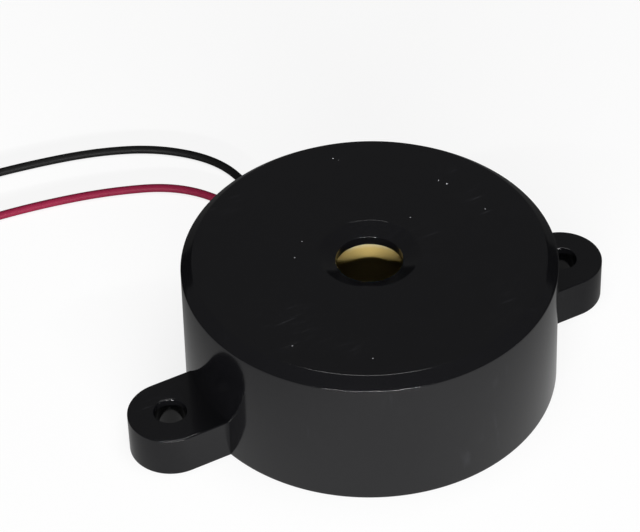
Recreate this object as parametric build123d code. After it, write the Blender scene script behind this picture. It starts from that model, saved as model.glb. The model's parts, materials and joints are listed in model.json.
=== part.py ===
"""Self-driven piezo buzzer, 42 mm case with two screw ears and two flying leads.

Frame: millimetres, +Z up. The origin is the centre of the flat base. +X runs along the
two ears, +Y points to the side of the case where the leads come out.
"""
from build123d import *
import math
import os

# ---------------------------------------------------------------- driving dimensions
# Case, one ABS moulding open at the base
CASE_TOP_DIAMETER = 42.0        # under the rim chamfer, where the draft starts
CASE_HEIGHT = 17.0
CASE_DRAFT_DEG = 0.7            # the wall widens towards the base
CASE_WALL = 2.0                 # at the rim, round the component space
TOP_PLATE = 2.0
RIM_CHAMFER_WIDTH = 1.3         # measured along the top face
RIM_CHAMFER_HEIGHT = 1.1
RIM_EDGE_ROUND = 0.22
SMALL_EDGE_ROUND = 0.12

# Sound hole in the top, at the bottom of a shallow countersink
SOUND_HOLE_DIAMETER = 7.5
SOUND_DISH_DIAMETER = 11.3
SOUND_DISH_DEPTH = 0.85

# Screw ears
EAR_HOLE_REACH = 4.4            # hole centre beyond the case's top radius
EAR_HOLE_DIAMETER = 3.6
EAR_WIDTH = 9.6
EAR_THICKNESS = 5.0
EAR_EDGE_ROUND = 0.18

# Sounding element: brass disc with a bonded ceramic and its silvered faces
DIAPHRAGM_DIAMETER = 35.0
DIAPHRAGM_THICKNESS = 0.3
DIAPHRAGM_CLEARANCE = 0.2       # radial, in its locating recess
DIAPHRAGM_SEAT = 0.9            # radial width of the ledge that the disc is bonded to
FRONT_CAVITY = 1.5              # air space between the top plate and the disc
RECESS_DEPTH = 1.5              # how far the locating recess stands below the ledge
RECESS_LEAD_IN = 0.8            # slope below the recess
CERAMIC_SHARE = 5 / 7           # ceramic diameter over disc diameter
CERAMIC_THICKNESS = 0.25
ELECTRODE_THICKNESS = 0.05
ELECTRODE_MARGIN = 0.9          # bare ceramic left round the silver
FEEDBACK_WIDTH = 3.4
FEEDBACK_LENGTH = 6.5
FEEDBACK_GAP = 0.5
FEEDBACK_DIRECTION_DEG = -35.0  # from +X, towards the rim
BEAD_INSET = 0.7                # the adhesive reaches this far in from the disc's edge
BEAD_DROP = 0.9                 # and this far down the recess wall

# Circuit board and the resin that seals the back
BOARD_THICKNESS = 1.2
BOARD_CLEARANCE = 0.2           # radial, in its counterbore
BOARD_SEAT = 0.8                # radial width of the step above the board
BOARD_UNDERSIDE = 2.4           # height of the board's lower face above the base
COPPER_THICKNESS = 0.07
TRACK_WIDTH = 1.1
PAD_DIAMETER = 1.9
RESIN_RECESS = 0.2              # the resin stops this far above the base
JOINT_HEIGHT = 0.9              # solder below the copper
JOINT_BASE_DIAMETER = 1.5
JOINT_TIP_DIAMETER = 0.9
LEG_STICKOUT = 0.2              # leg below its solder
HOLE_CLEARANCE = 0.3            # drilled hole over leg diameter

# Leads
LEAD_DIAMETER = 1.0
LEAD_CORE_DIAMETER = 0.5
LEAD_SLOT_WIDTH = 3.4
LEAD_SLOT_HEIGHT = 1.9
CORE_RUN = 1.9                  # bare core before it turns up into the board
CORE_BEND = 0.6
TIP_LENGTH = 5.0                # stripped and tinned far end, beyond the insulation
RESIN_PLUG_SETBACK = 0.5        # resin in the slot stops short of the outer wall

# Wires between the board and the sounding element
HOOKUP_DIAMETER = 0.6
HOOKUP_BEND = 1.5
HOOKUP_CROSSING = (0.3, 0.7)    # each wire crosses over between these shares of its rise
ELEMENT_JOINT_DIAMETER = 2.4
ELEMENT_JOINT_HEIGHT = 0.8

# Components on the board
INDUCTOR_DIAMETER = 7.6
INDUCTOR_HEIGHT = 7.0
INDUCTOR_FLANGE = 1.0
INDUCTOR_NECK_DIAMETER = 3.2
INDUCTOR_WINDING_DEPTH = 1.7
INDUCTOR_LEG_PITCH = 5.0
SLEEVE_THICKNESS = 0.25
SLEEVE_TURNOVER = 0.5           # lip that shrinks over the top flange
TRANSISTOR_RADIUS = 2.4
TRANSISTOR_HEIGHT = 4.6
TRANSISTOR_FLAT = 1.3           # flat face, from the axis
TRANSISTOR_STANDOFF = 2.2
TRANSISTOR_LEG_PITCH = 1.27
TRANSISTOR_HOLE_PITCH = 2.54
TRANSISTOR_SPLAY = (0.3, 0.9)   # the outer legs spread between these shares of the stand-off
TRANSISTOR_LEG_BEND = 0.3
RESISTOR_LENGTH = 6.3
RESISTOR_CAP_DIAMETER = 2.4
RESISTOR_BODY_DIAMETER = 2.0
RESISTOR_CAP_LENGTH = 1.3
DIODE_LENGTH = 5.2
DIODE_DIAMETER = 2.6
AXIAL_HOLE_PITCH = 10.0
AXIAL_BEND = 0.8
LEG_DIAMETER = 0.55

# Places on the board, (x, y), and the direction of each axial part
INDUCTOR_AT = (-8.5, 1.0)
TRANSISTOR_AT = (7.0, 7.5)
RESISTORS_AT = {
    "resistor_bias": ((9.5, -1.0), 0),
    "resistor_feedback": ((9.5, -5.5), 0),
    "resistor_load": ((-5.0, -11.0), 0),
}
DIODE_AT = ((-15.0, 1.0), 90)

# Where the three hook-up wires leave the board and meet the element, (x, y); the places on
# the element are those on a disc of the layout's diameter
LAYOUT_DISC_DIAMETER = 35.0
HOOKUP_WIRES = {
    "hookup_wire_disc": ((7.5, 13.0), (7.3, 12.4)),
    "hookup_wire_drive": ((5.0, -13.0), (1.0, -8.5)),
    "hookup_wire_feedback": ((13.5, -10.0), (6.8, -4.8)),
}

# Lead ends at the board, (x, y, height)
LEAD_STARTS = {"black_lead": (2.0, 13.5, 1.25), "red_lead": (-2.0, 13.5, 1.25)}
# Lead routes from the wall to the end of the insulation, (x, y beyond the case's top radius, height)
LEAD_RUNS = {
    "black_lead": [
        (0.7, -0.8, 1.25), (2.1, 6.4, 0.9), (2.5, 13.2, 0.5), (1.5, 20.0, 0.5),
        (-3.6, 25.8, 0.5), (-10.5, 29.2, 0.5), (-19.0, 31.2, 0.5), (-28.4, 32.4, 0.5),
        (-37.6, 31.4, 0.5), (-45.4, 27.2, 0.5), (-51.2, 20.6, 0.5), (-54.4, 13.0, 0.5),
        (-56.0, 6.2, 0.5),
    ],
    "red_lead": [
        (-0.7, -0.8, 1.25), (-0.4, 5.6, 0.9), (-0.7, 11.6, 0.5), (-5.0, 18.2, 0.5),
        (-12.8, 21.6, 0.5), (-21.5, 23.6, 0.5), (-30.4, 24.6, 0.5), (-38.0, 22.2, 0.5),
        (-43.6, 16.4, 0.5), (-46.8, 8.6, 0.5), (-48.0, 0.2, 0.5), (-48.0, -8.2, 0.5),
        (-49.2, -16.2, 0.5),
    ],
}
ARC_SHARE = 0.45                # of the shorter run, taken up by each bend

# ---------------------------------------------------------------- derived levels
case_top_radius = CASE_TOP_DIAMETER / 2
draft_height = CASE_HEIGHT - RIM_CHAMFER_HEIGHT
case_base_radius = case_top_radius + draft_height * math.tan(math.radians(CASE_DRAFT_DEG))
ear_hole_pitch = CASE_TOP_DIAMETER + 2 * EAR_HOLE_REACH
component_bore = case_top_radius - CASE_WALL
board_bore = component_bore + BOARD_SEAT
recess_radius = DIAPHRAGM_DIAMETER / 2 + DIAPHRAGM_CLEARANCE
cavity_radius = DIAPHRAGM_DIAMETER / 2 - DIAPHRAGM_SEAT
ceramic_radius = CERAMIC_SHARE * DIAPHRAGM_DIAMETER / 2

plate_underside = CASE_HEIGHT - TOP_PLATE
disc_top = plate_underside - FRONT_CAVITY
disc_bottom = disc_top - DIAPHRAGM_THICKNESS
ceramic_bottom = disc_bottom - CERAMIC_THICKNESS
electrode_bottom = ceramic_bottom - ELECTRODE_THICKNESS
recess_bottom = disc_top - RECESS_DEPTH
board_top = BOARD_UNDERSIDE + BOARD_THICKNESS
copper_bottom = BOARD_UNDERSIDE - COPPER_THICKNESS
joint_bottom = copper_bottom - JOINT_HEIGHT
leg_bottom = joint_bottom - LEG_STICKOUT


# ---------------------------------------------------------------- shape helpers
def revolved(points, rounds=None):
    """Turn a closed (radius, height) outline about Z; rounds maps a point's index to a radius."""
    outline = make_face(Polyline(*points, close=True))
    for index, radius in (rounds or {}).items():
        corner = min(outline.vertices(), key=lambda v: math.dist((v.X, v.Y), points[index]))
        outline = fillet(corner, radius)
    upright = Plane.XZ * outline
    return revolve(upright, Axis.Z)


def rod(x, y, bottom, top, diameter):
    return Pos(x, y, bottom) * extrude(Circle(diameter / 2), top - bottom)


def wire(points, radii, diameter):
    """Round wire along straight runs joined by tangent arcs."""
    path = FilletPolyline(*points, radius=radii) if radii else Polyline(*points)
    start = Plane(origin=path @ 0, z_dir=path % 0)
    return sweep(start * Circle(diameter / 2), path=path)


def bend_radii(points):
    """Largest even bends that the runs of a route leave room for."""
    radii = []
    for before, here, after in zip(points, points[1:], points[2:]):
        came = Vector(*here) - Vector(*before)
        goes = Vector(*after) - Vector(*here)
        half_turn = math.radians(came.get_angle(goes)) / 2
        radii.append(ARC_SHARE * min(came.length, goes.length) / math.tan(half_turn))
    return radii


def solder_cone(x, y, leg, leg_diameter):
    """Solder round a leg: a cone below the copper, and a fill in the copper's hole."""
    joint = Pos(x, y, (copper_bottom + joint_bottom) / 2) * Cone(
        JOINT_TIP_DIAMETER / 2, JOINT_BASE_DIAMETER / 2, JOINT_HEIGHT)
    joint += rod(x, y, copper_bottom, BOARD_UNDERSIDE, leg_diameter + HOLE_CLEARANCE)
    return joint - leg


# ---------------------------------------------------------------- case
def housing():
    hole = SOUND_HOLE_DIAMETER / 2
    dish = SOUND_DISH_DIAMETER / 2
    outline = [
        (case_base_radius, 0),
        (case_top_radius, draft_height),
        (case_top_radius - RIM_CHAMFER_WIDTH, CASE_HEIGHT),
        (dish, CASE_HEIGHT),
        (hole, CASE_HEIGHT - SOUND_DISH_DEPTH),
        (hole, plate_underside),
        (cavity_radius, plate_underside),
        (cavity_radius, disc_top),
        (recess_radius, disc_top),
        (recess_radius, recess_bottom),
        (component_bore, recess_bottom - RECESS_LEAD_IN),
        (component_bore, board_top),
        (board_bore, board_top),
        (board_bore, 0),
    ]
    rounds = {1: RIM_EDGE_ROUND, 2: RIM_EDGE_ROUND, 3: SMALL_EDGE_ROUND, 4: SMALL_EDGE_ROUND}
    case = revolved(outline, rounds)

    inside_wall = (board_bore + case_top_radius) / 2
    for side in (-1, 1):
        ear_end = Pos(side * ear_hole_pitch / 2, 0) * Circle(EAR_WIDTH / 2)
        strip_length = ear_hole_pitch / 2
        strip = Pos(side * strip_length / 2, 0) * Rectangle(strip_length, EAR_WIDTH)
        ear = extrude(ear_end + strip, EAR_THICKNESS)
        ear = fillet(ear.faces().sort_by(Axis.Z)[-1].edges(), EAR_EDGE_ROUND)
        ear -= Pos(0, 0, -1) * extrude(Circle(inside_wall), EAR_THICKNESS + 2)
        screw = Pos(side * ear_hole_pitch / 2, 0, -1) * extrude(
            Circle(EAR_HOLE_DIAMETER / 2), EAR_THICKNESS + 2)
        case += ear
        case -= screw

    slot_length = case_base_radius + 1 - component_bore
    slot = Pos(0, component_bore + slot_length / 2, LEAD_SLOT_HEIGHT / 2) * Box(
        LEAD_SLOT_WIDTH, slot_length, LEAD_SLOT_HEIGHT)
    return case - slot


# ---------------------------------------------------------------- sounding element
def diaphragm():
    return Pos(0, 0, disc_bottom) * extrude(Circle(DIAPHRAGM_DIAMETER / 2), DIAPHRAGM_THICKNESS)


def ceramic():
    return Pos(0, 0, ceramic_bottom) * extrude(Circle(ceramic_radius), CERAMIC_THICKNESS)


def feedback_outline(grow):
    """Round-ended tongue of silver that reaches in from the edge of the ceramic."""
    silver_radius = ceramic_radius - ELECTRODE_MARGIN
    width = FEEDBACK_WIDTH + 2 * grow
    inner_end = silver_radius - FEEDBACK_LENGTH
    straight = silver_radius + 1 - inner_end - FEEDBACK_WIDTH / 2
    tongue = Pos(0, silver_radius + 1 - straight / 2) * Rectangle(width, straight)
    tongue += Pos(0, inner_end + FEEDBACK_WIDTH / 2) * Circle(width / 2)
    return Rot(0, 0, FEEDBACK_DIRECTION_DEG - 90) * tongue


def electrodes():
    silver = Circle(ceramic_radius - ELECTRODE_MARGIN)
    drive = silver - feedback_outline(FEEDBACK_GAP)
    feedback = silver & feedback_outline(0)
    drive = Pos(0, 0, electrode_bottom) * extrude(drive, ELECTRODE_THICKNESS)
    feedback = Pos(0, 0, electrode_bottom) * extrude(feedback, ELECTRODE_THICKNESS)
    return drive, feedback


def adhesive_bead():
    """Silicone that fills the gap round the disc and wets its lower face."""
    disc_edge = DIAPHRAGM_DIAMETER / 2
    return revolved([
        (disc_edge, disc_top),
        (recess_radius, disc_top),
        (recess_radius, disc_bottom - BEAD_DROP),
        (disc_edge - BEAD_INSET, disc_bottom),
        (disc_edge, disc_bottom),
    ])


# ---------------------------------------------------------------- components
def inductor():
    x, y = INDUCTOR_AT
    outer = INDUCTOR_DIAMETER / 2
    neck = INDUCTOR_NECK_DIAMETER / 2
    base = board_top
    top = base + INDUCTOR_HEIGHT
    winding_radius = neck + INDUCTOR_WINDING_DEPTH
    place = Pos(x, y, 0)
    core = place * revolved([
        (0, base), (outer, base), (outer, base + INDUCTOR_FLANGE), (neck, base + INDUCTOR_FLANGE),
        (neck, top - INDUCTOR_FLANGE), (outer, top - INDUCTOR_FLANGE), (outer, top), (0, top),
    ])
    winding = place * revolved([
        (neck, base + INDUCTOR_FLANGE), (winding_radius, base + INDUCTOR_FLANGE),
        (winding_radius, top - INDUCTOR_FLANGE), (neck, top - INDUCTOR_FLANGE),
    ])
    sleeve = place * revolved([
        (outer, base), (outer + SLEEVE_THICKNESS, base),
        (outer + SLEEVE_THICKNESS, top + SLEEVE_THICKNESS),
        (outer - SLEEVE_TURNOVER, top + SLEEVE_THICKNESS), (outer - SLEEVE_TURNOVER, top),
        (outer, top),
    ])
    holes = [(x - INDUCTOR_LEG_PITCH / 2, y), (x + INDUCTOR_LEG_PITCH / 2, y)]
    legs = [rod(hx, hy, leg_bottom, board_top, LEG_DIAMETER) for hx, hy in holes]
    return core, winding, sleeve, legs, holes


def transistor():
    x, y = TRANSISTOR_AT
    base = board_top + TRANSISTOR_STANDOFF
    round_body = Circle(TRANSISTOR_RADIUS)
    behind_flat = Pos(0, -TRANSISTOR_FLAT - TRANSISTOR_RADIUS) * Rectangle(
        4 * TRANSISTOR_RADIUS, 2 * TRANSISTOR_RADIUS)
    body = Pos(x, y, base) * extrude(round_body - behind_flat, TRANSISTOR_HEIGHT)
    legs, holes = [], []
    for step in (-1, 0, 1):
        at_body = (x + step * TRANSISTOR_LEG_PITCH, y)
        at_board = (x + step * TRANSISTOR_HOLE_PITCH, y)
        holes.append(at_board)
        if step == 0:
            legs.append(rod(*at_board, leg_bottom, base, LEG_DIAMETER))
            continue
        legs.append(wire([
            (*at_body, base), (*at_body, base - TRANSISTOR_SPLAY[0] * TRANSISTOR_STANDOFF),
            (*at_board, base - TRANSISTOR_SPLAY[1] * TRANSISTOR_STANDOFF),
            (*at_board, leg_bottom),
        ], TRANSISTOR_LEG_BEND, LEG_DIAMETER))
    return body, legs, holes


def axial_part(place, turn, length, diameter, outline):
    """Body of revolution lying on the board, and its two legs bent down through it."""
    x, y = place
    axis_height = board_top + diameter / 2
    stand = Pos(x, y, axis_height) * Rot(0, 0, turn)
    body = stand * Rot(0, 90, 0) * revolved(outline)
    legs, holes = [], []
    for side in (-1, 1):
        end = side * length / 2
        hole = side * AXIAL_HOLE_PITCH / 2
        drop = leg_bottom - axis_height
        legs.append(stand * wire([(end, 0, 0), (hole, 0, 0), (hole, 0, drop)],
                                 AXIAL_BEND, LEG_DIAMETER))
        holes.append((x + hole * math.cos(math.radians(turn)), y + hole * math.sin(math.radians(turn))))
    return body, legs, holes


def resistor(place, turn):
    half = RESISTOR_LENGTH / 2
    cap = RESISTOR_CAP_DIAMETER / 2
    waist = RESISTOR_BODY_DIAMETER / 2
    outline = [(0, -half), (cap, -half), (cap, RESISTOR_CAP_LENGTH - half),
               (waist, RESISTOR_CAP_LENGTH - half + (cap - waist)),
               (waist, half - RESISTOR_CAP_LENGTH - (cap - waist)),
               (cap, half - RESISTOR_CAP_LENGTH), (cap, half), (0, half)]
    return axial_part(place, turn, RESISTOR_LENGTH, RESISTOR_CAP_DIAMETER, outline)


def diode(place, turn):
    half = DIODE_LENGTH / 2
    outline = [(0, -half), (DIODE_DIAMETER / 2, -half), (DIODE_DIAMETER / 2, half), (0, half)]
    return axial_part(place, turn, DIODE_LENGTH, DIODE_DIAMETER, outline)


# ---------------------------------------------------------------- wires and leads
def lead(route):
    """Insulated lead, its bare board end and its tinned far end."""
    radii = bend_radii(route)
    tube = wire(route, radii, LEAD_DIAMETER)
    length = FilletPolyline(*route, radius=radii).length

    far_end = Vector(*route[-1])
    onward = (far_end - Vector(*route[-2])).normalized()
    tip = wire([tuple(far_end), tuple(far_end + onward * TIP_LENGTH)], None, LEAD_CORE_DIAMETER)

    start = Vector(*route[0])
    inward = (start - Vector(*route[1])).normalized()
    turn_up = start + inward * CORE_RUN
    core = wire([tuple(start), tuple(turn_up), (turn_up.X, turn_up.Y, board_top + LEG_STICKOUT)],
                CORE_BEND, LEAD_CORE_DIAMETER)
    return tube, tip, core, (turn_up.X, turn_up.Y), radii, length


def hookup_wire(board_place, element_place, element_level):
    """Thin wire from a hole in the board up to the joint on the element."""
    bx, by = board_place
    ex, ey = element_place
    end = element_level - ELEMENT_JOINT_HEIGHT / 2
    rise = end - board_top
    leave, arrive = [board_top + share * rise for share in HOOKUP_CROSSING]
    points = [(bx, by, leg_bottom), (bx, by, leave), (ex, ey, arrive), (ex, ey, end)]
    return wire(points, HOOKUP_BEND, HOOKUP_DIAMETER)


def element_joint(place, level):
    """Low dome of solder under the element."""
    x, y = place
    rise = ELEMENT_JOINT_HEIGHT
    half = ELEMENT_JOINT_DIAMETER / 2
    ball = (half ** 2 + rise ** 2) / (2 * rise)
    dome = Pos(x, y, level + ball - rise) * Sphere(ball)
    below = Pos(x, y, level - ball) * Box(4 * ball, 4 * ball, 2 * ball)
    return dome & below


# ---------------------------------------------------------------- board, copper, solder, resin
def circuit_board(joints):
    board = extrude(Circle(board_bore - BOARD_CLEARANCE), BOARD_THICKNESS)
    for (x, y), _, diameter in joints:
        board -= rod(x, y, -1, BOARD_THICKNESS + 1, diameter + HOLE_CLEARANCE)
    return Pos(0, 0, BOARD_UNDERSIDE) * board


def copper(net, joints):
    """One flat copper shape for a net: its tracks, and a pad round each of its holes."""
    pads = Sketch()
    holes = Sketch()
    for place, _, diameter in joints:
        if any(place in track for track in net):
            pads += Pos(*place) * Circle(PAD_DIAMETER / 2)
            holes += Pos(*place) * Circle((diameter + HOLE_CLEARANCE) / 2)
    for track in net:
        for a, b in zip(track, track[1:]):
            run = Vector(*b) - Vector(*a)
            angle = math.degrees(math.atan2(run.Y, run.X))
            middle = Pos((a[0] + b[0]) / 2, (a[1] + b[1]) / 2) * Rot(0, 0, angle)
            pads += middle * SlotCenterToCenter(run.length, TRACK_WIDTH)
    return Pos(0, 0, copper_bottom) * extrude(pads - holes, COPPER_THICKNESS)


def resin(cutters):
    """Potting that fills the back of the case and the slot round the leads."""
    fill = Pos(0, 0, RESIN_RECESS) * extrude(Circle(board_bore), BOARD_UNDERSIDE - RESIN_RECESS)
    plug_end = case_base_radius - RESIN_PLUG_SETBACK
    plug_start = board_bore - 1.0
    fill += Pos(0, (plug_start + plug_end) / 2, (RESIN_RECESS + LEAD_SLOT_HEIGHT) / 2) * Box(
        LEAD_SLOT_WIDTH, plug_end - plug_start, LEAD_SLOT_HEIGHT - RESIN_RECESS)
    for cutter in cutters:
        fill -= cutter
    return fill


# ---------------------------------------------------------------- build and write
def nets(ends):
    """Tracks of each net, as chains of (x, y) that start, turn or end at holes and corners."""
    emitter, base, collector = ends["transistor"]
    coil_supply, coil_drive = ends["inductor"]
    diode_supply, diode_input = ends["diode"]
    bias_base, bias_collector = ends["resistor_bias"]
    feedback_base, feedback_pickup = ends["resistor_feedback"]
    load_supply, load_drive = ends["resistor_load"]
    disc, drive, pickup = [on_board for on_board, _ in HOOKUP_WIRES.values()]
    bias_x, bias_y = RESISTORS_AT["resistor_bias"][0]
    between_resistors = (bias_x, (bias_y + RESISTORS_AT["resistor_feedback"][0][1]) / 2)
    below_resistors = (bias_x, drive[1] + 2 * PAD_DIAMETER)
    return {
        "input": [[ends["red_lead"][0], diode_input]],
        "supply": [[coil_supply, diode_supply, load_supply]],
        "ground": [[disc, ends["black_lead"][0], emitter]],
        "base": [[base, bias_base, feedback_base]],
        "pickup": [[feedback_pickup, pickup]],
        "drive": [[collector, bias_collector, between_resistors, below_resistors, drive,
                   load_drive, coil_drive]],
    }


def build():
    nodes = {"housing": housing(), "diaphragm": diaphragm(), "piezo_ceramic": ceramic()}
    nodes["drive_electrode"], nodes["feedback_electrode"] = electrodes()
    nodes["adhesive_bead"] = adhesive_bead()

    ends = {}                   # part: where its legs go through the board
    nodes["inductor_core"], nodes["inductor_winding"], nodes["inductor_sleeve"], \
        nodes["inductor_legs"], ends["inductor"] = inductor()
    nodes["transistor_body"], nodes["transistor_legs"], ends["transistor"] = transistor()
    for name, (place, turn) in RESISTORS_AT.items():
        nodes[name], nodes[name + "_legs"], ends[name] = resistor(place, turn)
    nodes["diode"], nodes["diode_legs"], ends["diode"] = diode(*DIODE_AT)

    joints = []                 # every soldered hole: place, the wire in it, its diameter
    for name, places in ends.items():
        joints += [(place, leg, LEG_DIAMETER) for place, leg in zip(places, nodes[name + "_legs"])]

    for name, start in LEAD_STARTS.items():
        run = [(x, case_top_radius + beyond, height) for x, beyond, height in LEAD_RUNS[name]]
        tube, tip, core, place, radii, length = lead([start] + run)
        nodes[name] = tube
        nodes[name + "_tip"] = tip
        nodes[name + "_core"] = core
        ends[name] = [place]
        joints.append((place, core, LEAD_CORE_DIAMETER))
        section = math.pi * LEAD_DIAMETER ** 2 / 4
        print(name, "bend radii", [round(r, 1) for r in radii], "insulation", round(length, 1),
              "mm, volume / (section x length)", round(tube.volume / (section * length), 4))

    domes = []
    element_scale = DIAPHRAGM_DIAMETER / LAYOUT_DISC_DIAMETER
    for name, (on_board, (layout_x, layout_y)) in HOOKUP_WIRES.items():
        on_element = (layout_x * element_scale, layout_y * element_scale)
        level = disc_bottom if name == "hookup_wire_disc" else electrode_bottom
        nodes[name] = hookup_wire(on_board, on_element, level)
        domes.append(element_joint(on_element, level) - nodes[name])
        joints.append((on_board, nodes[name], HOOKUP_DIAMETER))
    nodes["element_solder"] = domes

    nodes["circuit_board"] = circuit_board(joints)
    nodes["copper_tracks"] = [copper(net, joints) for net in nets(ends).values()]
    nodes["board_solder"] = [solder_cone(*place, leg, diameter) for place, leg, diameter in joints]

    embedded = nodes["copper_tracks"] + nodes["board_solder"] + [leg for _, leg, _ in joints]
    embedded += [nodes["black_lead"], nodes["red_lead"]]
    nodes["resin_seal"] = resin(embedded)
    return nodes


def main():
    os.makedirs("parts", exist_ok=True)
    for name, shape in build().items():
        pieces = []
        for item in (shape if isinstance(shape, list) else [shape]):
            pieces += item.solids()
        result = pieces[0] if len(pieces) == 1 else Compound(children=pieces)
        export_step(result, f"parts/{name}.step")


main()
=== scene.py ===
"""Piezo buzzer with two screw ears and two flying leads: its looks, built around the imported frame."""

import json
import math

import bmesh
import bpy
from bpy.props import FloatProperty, FloatVectorProperty, IntProperty, PointerProperty
from bpy.types import Operator, Panel, PropertyGroup
from mathutils import Matrix, Vector


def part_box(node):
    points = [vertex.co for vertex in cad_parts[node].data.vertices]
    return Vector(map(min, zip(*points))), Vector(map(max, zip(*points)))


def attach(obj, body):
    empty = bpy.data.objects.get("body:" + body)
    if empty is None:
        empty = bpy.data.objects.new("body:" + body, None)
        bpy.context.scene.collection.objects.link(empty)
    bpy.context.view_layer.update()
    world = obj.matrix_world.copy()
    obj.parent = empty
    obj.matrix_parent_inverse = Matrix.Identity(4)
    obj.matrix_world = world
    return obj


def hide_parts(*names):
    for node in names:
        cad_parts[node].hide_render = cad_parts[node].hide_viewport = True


bl_info = {
    "name": "Piezo Buzzer",
    "version": (1, 0, 0),
    "blender": (4, 5, 0),
    "location": "3D View > Sidebar > Buzzer",
    "description": "Builds a 42 mm panel buzzer with its leads, materials, studio and camera",
    "category": "Add Mesh",
}

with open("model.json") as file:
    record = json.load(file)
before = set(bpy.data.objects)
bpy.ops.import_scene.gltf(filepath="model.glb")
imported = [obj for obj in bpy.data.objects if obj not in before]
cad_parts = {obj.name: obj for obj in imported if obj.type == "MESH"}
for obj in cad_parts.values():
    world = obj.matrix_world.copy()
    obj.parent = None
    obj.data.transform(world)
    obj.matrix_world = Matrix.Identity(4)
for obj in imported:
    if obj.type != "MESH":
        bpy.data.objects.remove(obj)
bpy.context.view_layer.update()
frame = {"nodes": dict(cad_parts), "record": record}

MM = 0.001
BODY = "root"
TAU = 2 * math.pi

MOUNTS = {mount["name"]: mount for mount in frame["record"]["mounts"]}
SCREW_EARS = MOUNTS["screw_ears"]
EAR_HOLE_RADIUS = SCREW_EARS["dims"]["hole_r_mm"] * MM
EAR_PITCH = SCREW_EARS["dims"]["spacing_x_mm"] * MM
EAR_TOP = SCREW_EARS["pos_m"][2]
_, CASE_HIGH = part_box("housing")
DISC_LOW, DISC_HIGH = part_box("diaphragm")
_, BOARD_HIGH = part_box("circuit_board")

# The housing's hidden inside, and its lead slot
FRONT_CAVITY = 1.5 * MM         # air space between the top plate and the disc
RECESS_DEPTH = 1.5 * MM         # the disc's recess, below the disc's top
RECESS_LEAD_IN = 0.8 * MM
CAVITY_RADIUS = 16.6 * MM
COMPONENT_BORE = 19 * MM
FIT = 0.2 * MM                  # radial clearance round the disc and the board
SLOT_WIDTH, SLOT_HEIGHT = 3.4 * MM, 1.9 * MM
EAR_ROOT = 20.4 * MM            # where an ear starts, inside the wall
EAR_EDGE_ROUND = 0.18 * MM
SCREW_EDGE_ROUND = 0.16 * MM
ROUND_STEPS = 5                 # facets of a rounded edge
OVERCUT = 1 * MM                # how far a cutter reaches past what it cuts

# Lead routes, from the board end to the end of the insulation, in metres
BLACK_ROUTE = [
    (0.0020, 0.0135, 0.00125), (0.0007, 0.0202, 0.00125), (0.0021, 0.0274, 0.0009),
    (0.0025, 0.0342, 0.0005), (0.0015, 0.0410, 0.0005), (-0.0036, 0.0468, 0.0005),
    (-0.0105, 0.0502, 0.0005), (-0.0190, 0.0522, 0.0005), (-0.0284, 0.0534, 0.0005),
    (-0.0376, 0.0524, 0.0005), (-0.0454, 0.0482, 0.0005), (-0.0512, 0.0416, 0.0005),
    (-0.0544, 0.0340, 0.0005), (-0.0560, 0.0272, 0.0005),
]
RED_ROUTE = [
    (-0.0020, 0.0135, 0.00125), (-0.0007, 0.0202, 0.00125), (-0.0004, 0.0266, 0.0009),
    (-0.0007, 0.0326, 0.0005), (-0.0050, 0.0392, 0.0005), (-0.0128, 0.0426, 0.0005),
    (-0.0215, 0.0446, 0.0005), (-0.0304, 0.0456, 0.0005), (-0.0380, 0.0432, 0.0005),
    (-0.0436, 0.0374, 0.0005), (-0.0468, 0.0296, 0.0005), (-0.0480, 0.0212, 0.0005),
    (-0.0480, 0.0128, 0.0005), (-0.0492, 0.0048, 0.0005),
]

# Bare end of a lead
TIP_RADIUS = 0.25 * MM
TIP_LENGTH = 5.0 * MM
TIP_PITCH = 6.0 * MM            # of the twist
TIP_LOBES = 3                   # pairs of strands seen round the wire
STRAND_RELIEF = 0.12            # depth of the grooves between strands, over the radius


# ------------------------------------------------------------------ colours
def linear(hex_colour):
    """sRGB hex to the linear RGBA that shader sockets take."""
    channels = [int(hex_colour[i:i + 2], 16) / 255 for i in (1, 3, 5)]
    return (*[to_linear(c) for c in channels], 1.0)


def to_linear(c):
    return c / 12.92 if c <= 0.04045 else ((c + 0.055) / 1.055) ** 2.4


def grey(level):
    return (level, level, level, 1)


# ------------------------------------------------------------------ what a user may change
def tone(name, hex_colour, description):
    """Colour setting; a finish varies between its dark and its light tone."""
    return FloatVectorProperty(name=name, description=description, default=linear(hex_colour),
                               size=4, min=0, max=1, subtype="COLOR")


class CaseSettings(PropertyGroup):
    rim_width: FloatProperty(name="Rim chamfer width", default=1.3 * MM, unit="LENGTH",
                             description="Chamfer round the top, measured along the top face")
    rim_height: FloatProperty(name="Rim chamfer height", default=1.1 * MM, unit="LENGTH",
                              description="Chamfer round the top, measured down the wall")
    top_radius: FloatProperty(name="Case radius", default=21 * MM, unit="LENGTH",
                              description="Radius of the wall under the chamfer")
    edge_round: FloatProperty(name="Edge rounding", default=0.2 * MM, unit="LENGTH",
                              description="Rounding left on the chamfer's two edges")
    hole_radius: FloatProperty(name="Sound hole radius", default=3.75 * MM, unit="LENGTH",
                               description="Radius of the hole in the top plate")
    dish_radius: FloatProperty(name="Countersink radius", default=5.65 * MM, unit="LENGTH",
                               description="Outer radius of the shallow countersink")
    dish_depth: FloatProperty(name="Countersink depth", default=0.85 * MM, unit="LENGTH",
                              description="How far the hole's edge lies below the top face")
    ear_width: FloatProperty(name="Ear width", default=9.6 * MM, unit="LENGTH",
                             description="Width of each screw ear")
    segments: IntProperty(name="Segments", default=288, min=64,
                          description="Facets round the case")
    dark: tone("Case, dark tone", "#0c0c0e", "The moulded plastic at its darkest")
    light: tone("Case, light tone", "#0e0e10", "The moulded plastic at its lightest")


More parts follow.
